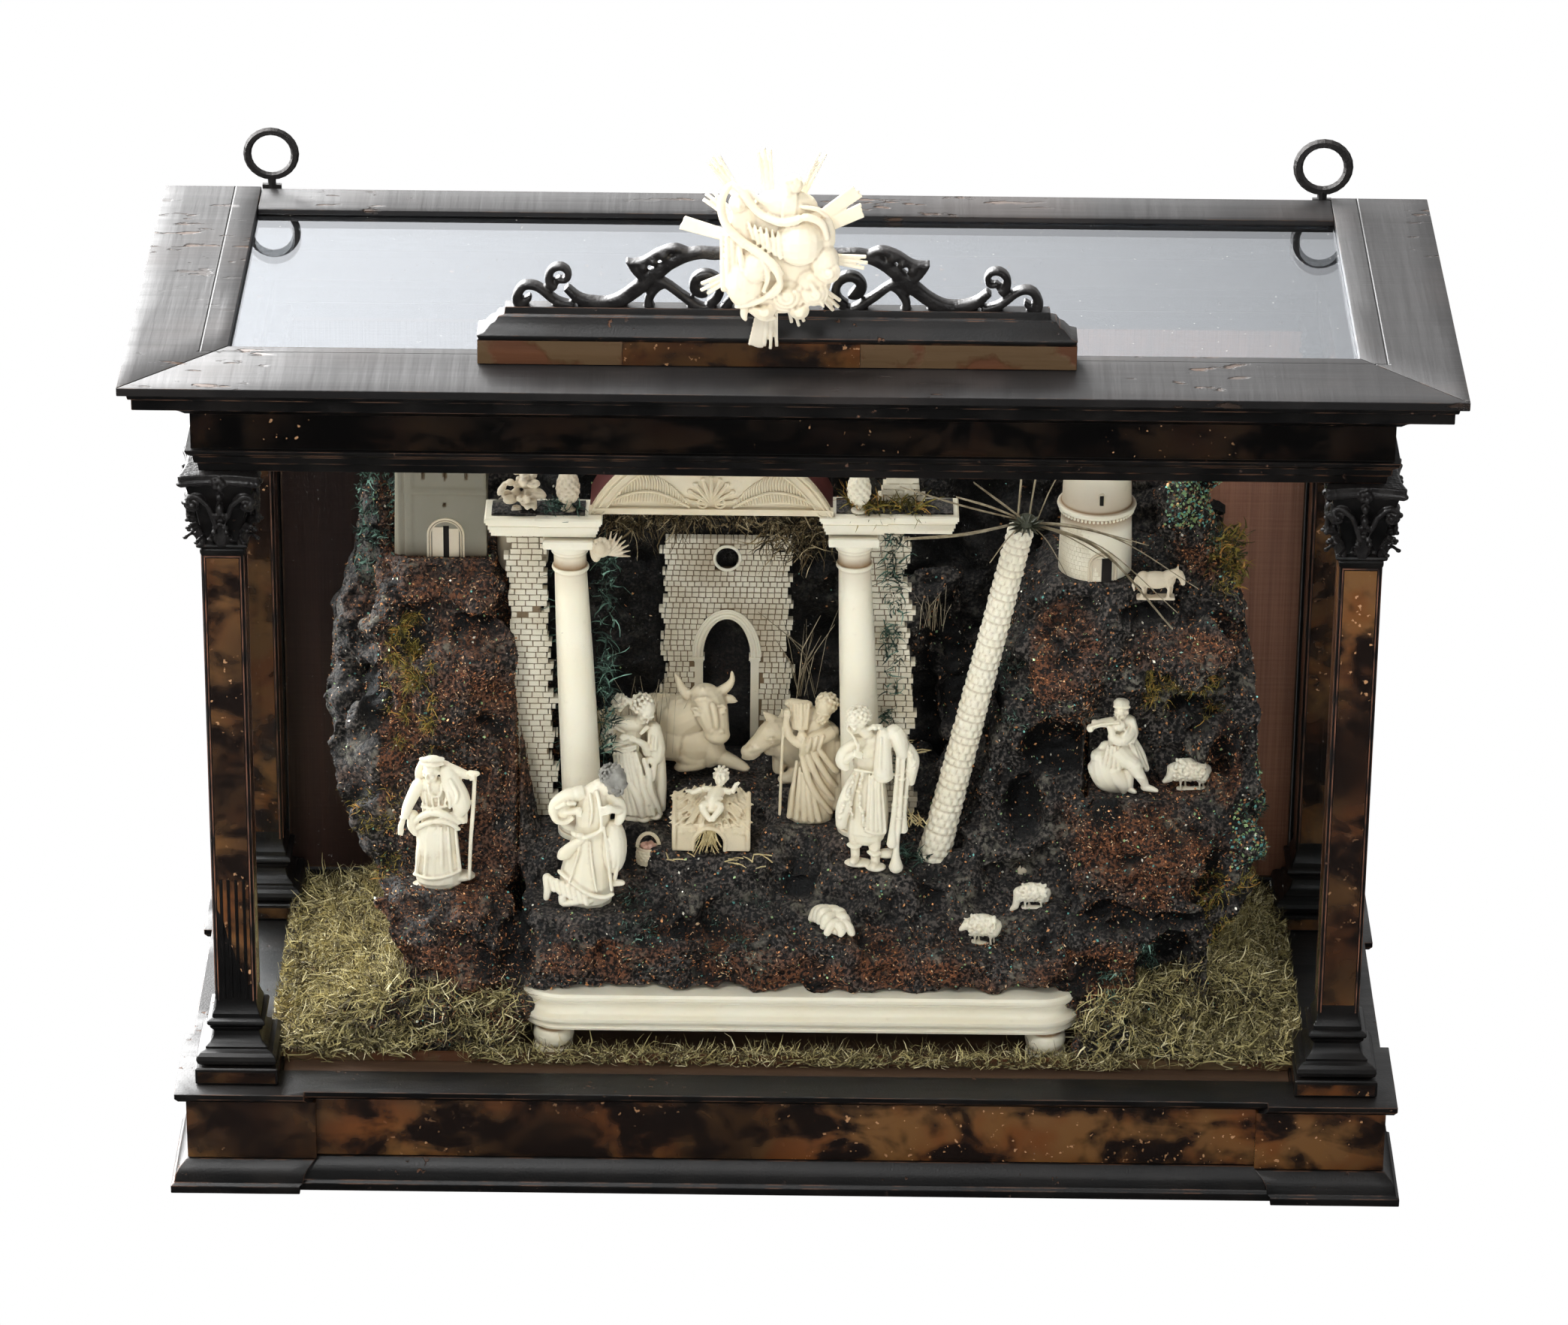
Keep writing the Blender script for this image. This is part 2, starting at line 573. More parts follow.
def glazing():
    """Front and side panes, notched round the pillars' bases and capitals."""
    low, high = BASE_HEIGHT - FLOOR_SINK + GAP, ARCHITRAVE_Z - GAP
    wide_low = BASE_HEIGHT + PILLAR_BASE_HEIGHT + 1.0
    wide_high = ARCHITRAVE_Z - CAPITAL_HEIGHT - 5.0
    wide = PILLAR_X - SHAFT_WIDTH / 2 - GAP
    narrow = PILLAR_X - ABACUS_WIDTH / 2 - 6.0
    right = [
        (narrow, low), (narrow, wide_low), (wide, wide_low), (wide, wide_high), (narrow, wide_high), (narrow, high),
    ]
    pane = right + [(-a, b) for a, b in reversed(right)]
    flat_outline("front_glass", pane, GLASS, "glass", (0, FRONT_PILLAR_Y, 0), upright=True)
    near = FRONT_PILLAR_Y + SHAFT_WIDTH / 2 + GAP
    far = BACK_PILLAR_Y - SHAFT_WIDTH / 2 - GAP
    near_in = FRONT_PILLAR_Y + ABACUS_WIDTH / 2 + 6.0
    far_in = BACK_PILLAR_Y - ABACUS_WIDTH / 2 - 6.0
    low = BASE_HEIGHT + GAP
    ring = [
        (near_in, low), (far_in, low), (far_in, wide_low), (far, wide_low), (far, wide_high), (far_in, wide_high),
        (far_in, high), (near_in, high), (near_in, wide_high), (near, wide_high), (near, wide_low),
        (near_in, wide_low),
    ]
    for side, x in (("left", -PILLAR_X), ("right", PILLAR_X)):
        pane = flat_outline(side + "_glass", ring, GLASS, "glass", (x, 0, 0), upright=True)
        pane.rotation_euler = (math.pi / 2, 0, math.pi / 2)


def back_door():
    low_z, high_z = BASE_HEIGHT + GAP, ARCHITRAVE_Z - GAP
    back = BACK_FRAME_FRONT + BACK_FRAME_THICKNESS
    frame = box(
        "back_frame", (-BACK_STILE_X, BACK_FRAME_FRONT, low_z), (BACK_STILE_X, back, high_z), "ebonised_wood"
    )
    hole = box(
        "back_frame_hollow", (-OPENING_X, BACK_FRAME_FRONT - 5, BACK_SILL_Z),
        (OPENING_X, back + 5, BACK_HEAD_Z), None, cutter=True,
    )
    combine(frame, hole)
    screw = bmesh.new()
    limb(screw, (LATCH_X, back - 2, LATCH_Z), (LATCH_X, back + 2.6, LATCH_Z), 1.6, 1.6, 12, False)
    head_y = back + GAP + LATCH_THICKNESS + 0.6
    limb(screw, (LATCH_X, head_y, LATCH_Z), (LATCH_X, back + 3.8, LATCH_Z), 3.2, 2.6, 12, False)
    combine(frame, piece("latch_screw", screw, None, cutter=True), "UNION")

    edge = OPENING_X - DOOR_SIDE_GAP
    door_back = back - GAP
    door_front = door_back - DOOR_THICKNESS
    low, high = BACK_SILL_Z + DOOR_SIDE_GAP, BACK_HEAD_Z - DOOR_SIDE_GAP
    door = box("back_door", (-edge, door_front, low), (edge, door_back, high), "poplar")
    pin = bmesh.new()
    pin_x = LATCH_X - LATCH_REACH
    radius = LATCH_PIN_RADIUS
    limb(pin, (pin_x, door_back - 2, LATCH_Z), (pin_x, back + 2.6, LATCH_Z), radius, radius, 10, False)
    limb(pin, (pin_x, head_y, LATCH_Z), (pin_x, back + 3.8, LATCH_Z), radius + 1.2, radius + 0.7, 10, False)
    combine(door, piece("latch_pin", pin, None, cutter=True), "UNION")
    box(
        "back_silk", (-edge + 1, door_front - GAP - SILK_THICKNESS, BACK_SILL_Z + 2),
        (edge - 1, door_front - GAP, BACK_HEAD_Z - 2), "silk",
    )
    hinge(back, door_back)
    latch_hook(back)


def hinge(back, door_back):
    """A long butt hinge: the frame's leaf has every other knuckle and the pin, the door's leaf the rest."""
    axis_x = -OPENING_X
    low_z = (BACK_SILL_Z + BACK_HEAD_Z - HINGE_LENGTH) / 2
    span = HINGE_LENGTH / HINGE_KNUCKLES
    inner, outer = KNUCKLE_RADIUS - 0.9, HINGE_LEAF_WIDTH
    clear = KNUCKLE_RADIUS + 0.5
    for owner, sign, face, first in (("frame", -1, back, 0), ("door", 1, door_back, 1)):
        x0, x1 = sorted((axis_x + sign * inner, axis_x + sign * outer))
        y0 = face + GAP
        high = (x1, y0 + HINGE_LEAF, low_z + HINGE_LENGTH)
        leaf = box("hinge_" + owner + "_leaf", (x0, y0, low_z), high, "brass")
        for number in range(HINGE_KNUCKLES):
            z0 = low_z + number * span
            name = owner + "_knuckle_" + str(number)
            if number % 2 == first:
                bm = bmesh.new()
                ends = [z0 + (GAP if number else 0), z0 + span]
                pins = [(axis_x, HINGE_AXIS_Y, z) for z in ends]
                limb(bm, *pins, KNUCKLE_RADIUS, KNUCKLE_RADIUS, 10, False)
                add_box(bm, (min(axis_x, x0), y0, ends[0]), (max(axis_x, x1), y0 + HINGE_LEAF, ends[1]))
                combine(leaf, piece(name, bm, None, cutter=True), "UNION")
            else:
                a, b = sorted((axis_x - sign * 4, axis_x + sign * clear))
                low, high = (a, back - 8, z0 - GAP), (b, back + 9, z0 + span + 2 * GAP)
                notch = box(name + "_room", low, high, None, cutter=True)
                combine(leaf, notch)
        rod = bmesh.new()
        fixed = owner == "frame"
        radius = HINGE_PIN_RADIUS + (0.0 if fixed else 0.25)
        inset = 1 if fixed else -1
        ends = (low_z + inset, low_z + HINGE_LENGTH - inset)
        limb(rod, *[(axis_x, HINGE_AXIS_Y, z) for z in ends], radius, radius, 8, False)
        pin = piece(owner + "_hinge_pin", rod, None, cutter=True)
        combine(leaf, pin, "UNION" if fixed else "DIFFERENCE")


def latch_hook(back):
    """Flat hook that hangs from its screw and swings up over the pin on the door."""
    half, head = 3.0, 6.2
    notch = LATCH_PIN_RADIUS + LATCH_CLEARANCE
    ring = [
        (-half, 4), (half, 4), (half, -LATCH_REACH + 6), (head, -LATCH_REACH + 4), (head, -LATCH_REACH - 5),
        (-half, -LATCH_REACH - 5), (-half, -LATCH_REACH - notch), (notch + 0.3, -LATCH_REACH - notch),
        (notch + 0.3, -LATCH_REACH + notch), (-half, -LATCH_REACH + notch),
    ]
    eye = disc(1.6 + 0.3, 12)
    flat_outline(
        "latch_hook", ring, LATCH_THICKNESS, "brass", (LATCH_X, back + GAP + LATCH_THICKNESS / 2, LATCH_Z),
        upright=True, holes=(eye,),
    )


def hanging_rings():
    for side, inset, rise, outer, wire in RINGS:
        x = (ROOF_HALF - inset) * (-1 if side == "left" else 1)
        z = ROOF_TOP + rise
        bm = bmesh.new()
        width, thick, drop = RING_PLATE
        top = z - outer + wire
        add_box(bm, (-width / 2, -thick / 2, top - drop - z), (width / 2, thick / 2, top - 4 - z))
        limb(bm, (0, 0, top - 7 - z), (0, 0, top - z), wire, wire, 8, False)
        plate = piece("hanging_ring_" + side, bm, "iron", (x, RING_Y, z))
        turns = np.linspace(0, -2 * math.pi, 7)[:-1]
        rim = [(outer - wire + wire * math.cos(a), wire * math.sin(a)) for a in turns]
        ring = bmesh.new()
        loop = [ring.verts.new((px, 0, pz)) for px, pz in rim]
        edges = [ring.edges.new((loop[i - 1], loop[i])) for i in range(len(loop))]
        bmesh.ops.spin(
            ring, geom=loop + edges, cent=(0, 0, 0), axis=(0, 0, 1), angle=2 * math.pi, steps=24, use_merge=True
        )
        bmesh.ops.rotate(ring, matrix=Matrix.Rotation(math.pi / 2, 3, "X"), verts=ring.verts)
        combine(plate, piece("ring_" + side, ring, None, (x, RING_Y, z), cutter=True), "UNION")


def arc(centre, radius, start, end, steps, widths=(1.0, 1.0)):
    """Points (x, z, width) along an arc or a spiral whose radius is one value or a pair, angles in degrees."""
    r0, r1 = radius if isinstance(radius, tuple) else (radius, radius)
    w0, w1 = widths
    found = []
    for i in range(steps + 1):
        t = i / steps
        a = math.radians(start + (end - start) * t)
        r = r0 + (r1 - r0) * t
        found.append((centre[0] + r * math.cos(a), centre[1] + r * math.sin(a), w0 + (w1 - w0) * t))
    return found


def crest():
    z0 = ROOF_TOP + GAP
    half = CREST_WIDTH / 2
    deep = CREST_DEPTH / 2
    levels = [
        (z0, 0, 0), (z0 + CREST_STRIP_HEIGHT, 0, 0), (z0 + CREST_STRIP_HEIGHT + 0.6, -0.6, 0.6),
        (z0 + 14, 0.2, 0.6), (z0 + 15, -3, -0.5), (z0 + 18.5, -6, -2), (z0 + 19.5, -8, -2.6),
        (z0 + 22, -9.5, -3), (z0 + 22.6, -12, -4), (z0 + CREST_BASE_HEIGHT, -12.5, -4.2),
    ]

    def outline(out_x, out_y):
        return rectangle(-half - out_x, half + out_x, -deep - out_y, deep + out_y)

    stack("crest_base", outline, levels, "ebonised_wood", (CREST_X, CREST_Y, 0))

    scroll_z = z0 + CREST_BASE_HEIGHT + GAP
    paths = [
        arc((-112, 5.5), (1.0, 4.4), 330, 90, 6, (0.9, 1.0)) + [
            (-108, 9.0, 1.0), (-98, 5.6, 1.1), (-88, 3.4, 1.2), (-76, 3.2, 1.5), (-64, 6.0, 1.7), (-54, 12.0, 1.7),
            (-46, 18.0, 1.5), (-36, 24.0, 1.5), (-22, 29.0, 1.3), (-4, 31.0, 1.1),
        ],
        [(-84, 3.5, 1.1), (-92, 7.0, 1.0), (-95, 12.0, 1.0)]
        + arc((-90, 16.5), (5.6, 2.0), 200, -60, 7, (1.0, 1.1)),
        [(-60, 8.0, 1.0), (-62, 16.0, 1.2), (-58, 22.5, 0.7)],
        [(-46, 1.0, 1.0), (-47, 8.0, 1.1), (-44, 14.0, 1.0)],
        [(-46, 4.0, 0.9)] + arc((-37, 6.0), (6.0, 2.2), 200, 430, 6, (0.9, 1.0)),
        arc((-23, 13.0), (2.5, 9.0), 280, -10, 7, (1.2, 1.4)) + [(-17, 5.0, 1.3), (-27, 1.2, 1.2)],
        [(-114, 0.6, 0.9), (-110, 3.2, 1.1), (-100, 0.8, 1.0)],
    ]
    bm = bmesh.new()
    add_box(bm, (-116, -SCROLL_THICKNESS / 2, 0), (116, SCROLL_THICKNESS / 2, 2.4))
    add_box(bm, (-12, -SCROLL_THICKNESS / 2, 0), (10, SCROLL_THICKNESS / 2, 36))
    peg_x, peg_z = GLORY[0] - CREST_X, GLORY[2] - scroll_z
    limb(bm, (peg_x, 0, peg_z), (peg_x, glory_back() + 3 * GAP - CREST_Y, peg_z), 6, 6, 10, False)
    for path in paths:
        for side in (-1, 1):
            add_scroll(bm, [(side * x, z + 1.2, SCROLL_THICKNESS / 2 * width) for x, z, width in path])
    carved("crest_scrolls", bm, "ebonised_wood", (CREST_X, CREST_Y, scroll_z - GAP))


def add_scroll(bm, path):
    """A curling bar in the plane of the crest through points (x, z, radius)."""
    for (x0, z0, r0), (x1, z1, r1) in zip(path, path[1:]):
        limb(bm, (x0, 0, z0), (x1, 0, z1), r0, r1, 6)


def glory_back():
    """Rear face of the rays' hub, which sits on a peg of the crest."""
    return GLORY[1] + CLOUD_BACK + GAP + RAY_THICKNESS


def glory():
    x, y, z = GLORY
    bm = bmesh.new()
    lobes = [
        ((0, 0, 0), (24, 6, 30)), ((8, -4, 2), (13, 8, 13)), ((-12, -3, 10), (10, 6, 16)),
        ((-10, -3, -12), (12, 7, 14)), ((6, -4, -16), (13, 7, 11)), ((-4, -5, -24), (11, 6, 8)),
        ((17, -2, -10), (8, 6, 12)), ((3, -4, 18), (15, 6, 12)), ((6, -5, 29), (5, 5, 5)),
        ((-14, -3, 25), (6, 5, 6)), ((18, -2, 12), (7, 5, 9)),
    ]
    for centre, radii in lobes:
        ball(bm, centre, radii, detail=(12, 8))
    cloud = carved("glory_cloud", bm, "ivory", (x, y, z), cut_base=False)
    flatten_back(cloud, y + CLOUD_BACK)
    rays = bmesh.new()
    ray_y = glory_back() - RAY_THICKNESS / 2
    limb(rays, (x, ray_y - RAY_THICKNESS / 2, z), (x, ray_y + RAY_THICKNESS / 2, z), 20, 20, 16, False)
    hub = piece("glory_rays", rays, "ivory")
    bundles = [
        (128, 50), (98, 52), (62, 46), (172, 44), (150, 40), (30, 47),
        (14, 49), (-22, 48), (-46, 38), (-76, 44), (-92, 47), (-135, 42),
    ]
    for number, (angle, length) in enumerate(bundles):
        fan = bmesh.new()
        for spread in (-4.2, 0, 4.2):
            a = math.radians(angle + spread)
            reach = length - abs(spread) * 0.6
            turn = Matrix.Translation((x, ray_y, z)) @ Matrix.Rotation(-a, 4, "Y")
            blade = add_box(fan, (10, -0.9, -1.1), (reach, 0.9, 1.1))
            for vert in blade:
                if vert.co.x > reach - 1:
                    vert.co.z *= 1.35
            bmesh.ops.transform(fan, matrix=turn, verts=blade)
        combine(hub, piece("ray_bundle_" + str(number), fan, None, cutter=True), "UNION")


def flatten_back(obj, y):
    """Cuts an object flat behind the plane at y."""
    bm = bmesh.new()
    bm.from_mesh(obj.data)
    spot = obj.matrix_world.inverted() @ Vector((0, y * MM, 0))
    cut = bmesh.ops.bisect_plane(
        bm, geom=bm.verts[:] + bm.edges[:] + bm.faces[:], dist=1e-7,
        plane_co=spot, plane_no=(0, 1, 0), clear_outer=True,
    )
    rim = [part for part in cut["geom_cut"] if isinstance(part, bmesh.types.BMEdge)]
    bmesh.ops.holes_fill(bm, edges=rim, sides=0)
    bmesh.ops.triangulate(bm, faces=bm.faces)
    bmesh.ops.recalc_face_normals(bm, faces=bm.faces)
    bm.to_mesh(obj.data)
    bm.free()


def stand_outline(out):
    x0, x1 = STAND_X[0] - out, STAND_X[1] + out
    y0, y1 = STAND_Y[0] - out, STAND_Y[1]
    radius = STAND_CORNER + out
    ring = []
    for cx, start in ((x0 + radius, math.pi), (x1 - radius, 1.5 * math.pi)):
        for i in range(5):
            a = start + i * math.pi / 8
            ring.append((cx + radius * math.cos(a), y0 + radius + radius * math.sin(a)))
    return ring + [(x1, y1), (x0, y1)]


def ivory_stand():
    z0, z1 = STAND_BOTTOM, STAND_TOP
    levels = [
        (z0, -4), (z0 + 1.6, -2.6), (z0 + 3, -3.4), (z0 + 4.2, -2.6), (z0 + 5.4, -0.6), (z0 + 7.6, -0.2),
        (z0 + 8.4, -1.8), (z0 + 10.5, -3.6), (z0 + 13.5, -3.0), (z0 + 16, -1.2), (z0 + 17, -0.4),
        (z0 + 18.4, 0), (z1, -0.8),
    ]
    stand = stack("ivory_stand", stand_outline, levels, "ivory")
    foot_z = BASE_HEIGHT - FLOOR_SINK + GAP
    wide = STAND_FOOT_RADIUS
    profile = [(foot_z, wide - 1), (foot_z + 4, wide - 0.6), (foot_z + 5, wide - 2), (foot_z + 6.5, wide - 0.4),
               (foot_z + 11, wide), (foot_z + 13, wide - 2.2), (z0 + 1.0, wide - 2.6)]
    for number, (x, y) in enumerate(foot_places()):
        name = "stand_foot_" + str(number)
        foot = stack(name, lambda radius: disc(radius, 12), profile, None, (x, y, 0), cutter=True)
        combine(stand, foot, "UNION")


def foot_places():
    inset = STAND_FOOT_INSET
    rows = (STAND_Y[0] + inset - 4, STAND_Y[1] - inset)
    return [(x, y) for x in (STAND_X[0] + inset, STAND_X[1] - inset) for y in rows]


# Rock shelves: x range, y range, top height, steepness of the sides
SHELVES = (
    ((-204, -138), (deep(0.1462), deep(0.384)), 125, 3.0),
    ((-192, -138), (deep(0.438), deep(0.773)), 274, 7.0),
    ((-222, -190), (deep(0.4704), deep(0.773)), 190, 5.0),
    ((-216, -170), (deep(0.6758), deep(0.773)), 292, 8.0),
    ((120, 214), (deep(0.3083), deep(0.4704)), 167.5, 5.0),
    ((112, 178), (deep(0.4596), deep(0.773)), 272, 8.0),
    ((176, 214), (deep(0.5569), deep(0.773)), 270, 7.0),
    ((100, 150), (deep(0.4488), deep(0.773)), 225, 6.0),
)


def seats():
    """Level seats let into the rock: x, y, z, half sizes in plan, height of what stands there."""
    return [
        (*WOMAN, 19, 11, 70), (*KNEELING, 21, 16.5, 64), (*MOTHER, 15, 10.5, 66), (*FATHER, 15.5, 10.5, 66),
        (*PIPER, 18, 8.5, 76), (*MUSICIAN, 18, 13, 48), (*OX, 36, 17, 44), (*DONKEY, 28, 13, 42),
        (*MANGER, 18.5, 17.0, 30), (*SHEEP_LEDGE, 11.5, 6, 18), (*SHEEP_PATH, 11.5, 6, 18),
        (*SHEEP_FRONT, 11.5, 6, 18),
        (*LAMB, 9.5, 8.5, 13), (*COLUMN_LEFT, 13, 13, 160), (*COLUMN_RIGHT, 13, 13, 160), (*PIER, 13, 4, 160),
        (*WALL_RIGHT, 15, 4, 160), (*HOUSE, 25, 13, 72), (*TOWER, 19.5, 19.5, 74), (*PALM, 10, 9, 30),
        (*GATE, 35, 3.5, 120),
    ]


def rock_height(x, y):
    """Top of the rock at a point of the plan."""
    slope = np.interp(y, SLOPE_Y, SLOPE_Z)
    moss = np.interp(y, (ROCK_FRONT, STAND_Y[1]), MOSS_Z)
    inside = min(max((x - STAND_X[0] + 26) / 20, 0), 1) * min(max((STAND_X[1] + 22 - x) / 20, 0), 1)
    height = moss + (slope - moss) * inside
    for (x0, x1), (y0, y1), top, steep in SHELVES:
        away = math.hypot(max(x0 - x, 0, x - x1), max(y0 - y, 0, y - y1))
        height = max(height, top - steep * away)
    spot = Vector((x, y, height)) / 14
    height += 3.2 * noise.noise(spot) + 1.6 * noise.noise(spot * 2.7)
    for px, py, level, half_x, half_y, _ in seats():
        away = math.hypot(max(abs(x - px) - half_x, 0), max(abs(y - py) - half_y, 0))
        blend = min(max((away - 4) / 6, 0), 1)
        height = level + SEAT_SINK + (height - level - SEAT_SINK) * blend
    return height


def cut_seats(rock):
    """Cuts the seats that lie in this rock."""
    spots = [rock.matrix_world @ vert.co / MM for vert in rock.data.vertices]
    first_x, last_x = min(spot.x for spot in spots), max(spot.x for spot in spots)
    for number, (x, y, z, half_x, half_y, tall) in enumerate(seats()):
        if x + half_x > first_x and x - half_x < last_x:
            low, high = (x - half_x, y - half_y, z), (x + half_x, y + half_y, z + tall)
            combine(rock, box(rock.name + "_seat_" + str(number), low, high, None, cutter=True))


def rock_field(name, x_range, y_range, bottom, height):
    """A block of rock with a flat underside and `height(x, y)` for its top."""
    x0, x1 = x_range
    y0, y1 = y_range
    columns = max(2, round((x1 - x0) / GRID))
    rows = max(2, round((y1 - y0) / GRID))
    bm = bmesh.new()
    bmesh.ops.create_grid(bm, x_segments=columns, y_segments=rows, size=0.5)
    for vert in bm.verts:
        vert.co.x = x0 + (vert.co.x + 0.5) * (x1 - x0)
        vert.co.y = y0 + (vert.co.y + 0.5) * (y1 - y0)
    top = list(bm.verts)
    rim = [edge for edge in bm.edges if edge.is_boundary]
    skirt = bmesh.ops.extrude_edge_only(bm, edges=rim)["geom"]
    lower = [part for part in skirt if isinstance(part, bmesh.types.BMVert)]
    for vert in top:
        vert.co.z = height(vert.co.x, vert.co.y)
    for vert in lower:
        vert.co.z = bottom
    bmesh.ops.holes_fill(bm, edges=[edge for edge in bm.edges if edge.is_boundary], sides=0)
    bmesh.ops.triangulate(bm, faces=bm.faces)
    return piece(name, bm, "cork_rock")


def rocks():
    floor = BASE_HEIGHT - FLOOR_SINK + GAP
    depth = (ROCK_FRONT, ROCK_BACK)
    middle = (STAND_X[0] + 0.4, STAND_X[1] - 0.4)
    cut_seats(rock_field("rock_left", (ROCK_X[0], ROCK_SPLIT_LEFT), depth, floor, rock_height))
    cut_seats(rock_field("rock_ground", middle, (STAND_Y[0] + 4, ROCK_BACK), STAND_TOP + GAP, rock_height))
    cut_seats(rock_field("rock_right", (ROCK_SPLIT_RIGHT, ROCK_X[1]), depth, floor, rock_height))

    def ridge(x, y):
        height = np.interp(x, (-198, -150, -60, 40, 120, 206), (288, 318, 336, 338, 320, 284))
        return height + 9 * noise.noise(Vector((x, y, 0)) / 16) - 0.5 * (y - BACK_ROCK[2])

    rock_field("rock_back", BACK_ROCK[:2], BACK_ROCK[2:], floor, ridge)


def temple():
    top = COLUMN_HEIGHT - GAP
    profile = [(0, 12.2), (2.4, 12.2), (2.8, 10.8), (6.0, 11.0), (7.0, 9.6), (60, 9.0), (top - 18, 7.6),
               (top - 17, 8.6), (top - 15, 8.6), (top - 14, 7.6), (top - 9, 9.4), (top - 5, 11.6), (top, 11.8)]
    for side, (x, y, z) in (("left", COLUMN_LEFT), ("right", COLUMN_RIGHT)):
        bm = bmesh.new()
        add_stack(bm, lambda radius: disc(radius, 14), [(height + GAP, radius) for height, radius in profile])
        for vert in bm.verts:
            vert.co.x += COLUMN_LEAN * (vert.co.z - GAP) / COLUMN_HEIGHT
        piece("temple_column_" + side, bm, "ivory", (x, y, z), round_shape=True)

    top_left = COLUMN_LEFT[0] + COLUMN_LEAN
    top_right = COLUMN_RIGHT[0] + COLUMN_LEAN
    blocks = {
        "left": (top_left - 36, top_left + 13, COLUMN_LEFT[1]),
        "right": (top_right - 13, top_right + 46, COLUMN_RIGHT[1]),
    }
    z = ENTABLATURE_Z
    for side, (x0, x1, y) in blocks.items():
        levels = [(z, 0), (z + 2.6, 0), (z + 3, 0.7), (z + 5, 0.7), (z + 6, 1.8), (z + ENTABLATURE_HEIGHT, 2.4)]
        bm = bmesh.new()
        add_stack(bm, lambda out: rectangle(x0 - out, x1 + out, y - 9 - out, y + 9 + out), levels)
        piece("entablature_" + side, bm, "ivory")

    centre = (top_left + top_right) / 2
    y = (COLUMN_LEFT[1] + COLUMN_RIGHT[1]) / 2 - 6
    radius = (PEDIMENT_HALF ** 2 + PEDIMENT_HEIGHT ** 2) / (2 * PEDIMENT_HEIGHT)
    base_z = z + ENTABLATURE_HEIGHT + GAP
    half_angle = math.asin(min(1.0, PEDIMENT_HALF / radius))
    steps = 24
    angles = [half_angle - 2 * half_angle * i / steps for i in range(steps + 1)]
    drop = radius - PEDIMENT_HEIGHT

    def rib(r):
        return [(r * math.sin(-a), r * math.cos(a) - drop) for a in angles]

    front = flat_outline(
        "temple_pediment", rib(radius), 4.0, "ivory", (centre, y, base_z), upright=True,
    )
    band = rib(radius - 0.4) + list(reversed(rib(radius - 4.2)))
    band = [(x, max(height, 0.0)) for x, height in band]
    vault = flat_outline(
        "vault_shell", band, VAULT_DEPTH, None, (centre, y + VAULT_DEPTH / 2, base_z), upright=True, cutter=True,
    )
    combine(front, vault, "UNION")


def ragged(x0, x1, z0, z1, course, jag, seed):
    """Outline of a broken brick wall: stepped edges, one step a course."""
    count = max(2, round((z1 - z0) / course))
    height = (z1 - z0) / count
    left, right = [], []
    for i in range(count):
        low, high = z0 + i * height, z0 + (i + 1) * height
        bite = jag * noise.noise(Vector((seed, i * 0.7, 0.3)))
        other = jag * noise.noise(Vector((seed + 5.1, i * 0.7, 0.9)))
        left += [(x0 + bite, low), (x0 + bite, high)]
        right += [(x1 + other, low), (x1 + other, high)]
    return right + list(reversed(left))


def walls():
    x, y, z = PIER
    lean = COLUMN_LEAN
    tall = ENTABLATURE_Z - GAP - z - GAP
    ring = ragged(-9, 9, GAP, tall, 10.5, 3.0, 1.7)
    ring = [(a + lean * b / tall, b) for a, b in ring]
    flat_outline("brick_pier", ring, 6.0, "ivory", (x, y, z), upright=True)
    x, y, z = WALL_RIGHT
    tall = ENTABLATURE_Z - GAP - z - GAP
    ring = ragged(-10, 10, GAP, tall, 10.5, 4.0, 3.3)
    ring = [(a + lean * b / tall, b) for a, b in ring]
    flat_outline("brick_wall", ring, 6.0, "ivory", (x, y, z), upright=True)
    x, y, z = GATE
    tall = GATE_HEIGHT
    ring = ragged(-31, 31, GAP, tall, 13, 2.5, 6.1)
    curve = np.linspace(math.pi, 0, 11)
    arch = [(GATE_HALF * math.cos(a), GATE_SPRING + (GATE_CROWN - GATE_SPRING) * math.sin(a)) for a in curve]
    ring += [(-GATE_HALF, GAP), *arch, (GATE_HALF, GAP)]
    eye = [(px, OCULUS_Z + pz) for px, pz in disc(OCULUS_RADIUS, 12)]
    flat_outline("gate_wall", ring, 5.0, "ivory", (x, y, z), upright=True, holes=(eye,))


def doorway(half, spring, sill):
    """Outline of a round-headed doorway that reaches `sill` below its foot."""
    arch = [(half * math.cos(a), spring + half * math.sin(a)) for a in np.linspace(0, math.pi, 9)]
    return [(half, -sill), *arch, (-half, -sill)]


def house_and_tower():
    x, y, z = HOUSE
    bm = bmesh.new()
    add_box(bm, (-20, -10, GAP), (20, 10, 70))
    house = piece("house", bm, "ivory", (x, y, z))
    wing = bmesh.new()
    add_box(wing, (-24, -6, GAP), (-15, 12, 62))
    add_box(wing, (-21, -11, 34), (21, 11, 36))
    combine(house, piece("house_wing", wing, None, (x, y, z), cutter=True), "UNION")
    hole = flat_outline("house_doorway", doorway(7, 12, 2), 8, None, (x - 4, y - 11, z), upright=True, cutter=True)
    combine(house, hole)

    x, y, z = TOWER
    profile = [
        (GAP, 17.2), (24, 16.6), (31, 16.2), (31.6, 18.2), (33.6, 18.4), (34.2, 16.4),
        (68, 15.4), (70, 17.0), (72, 17.0),
    ]
    tower = stack("round_tower", lambda radius: disc(radius, 18), profile, "ivory", (x, y, z), round_shape=True)
    hole = flat_outline("tower_doorway", doorway(5, 9, 2), 8, None, (x, y - 17, z), upright=True, cutter=True)
    combine(tower, hole)


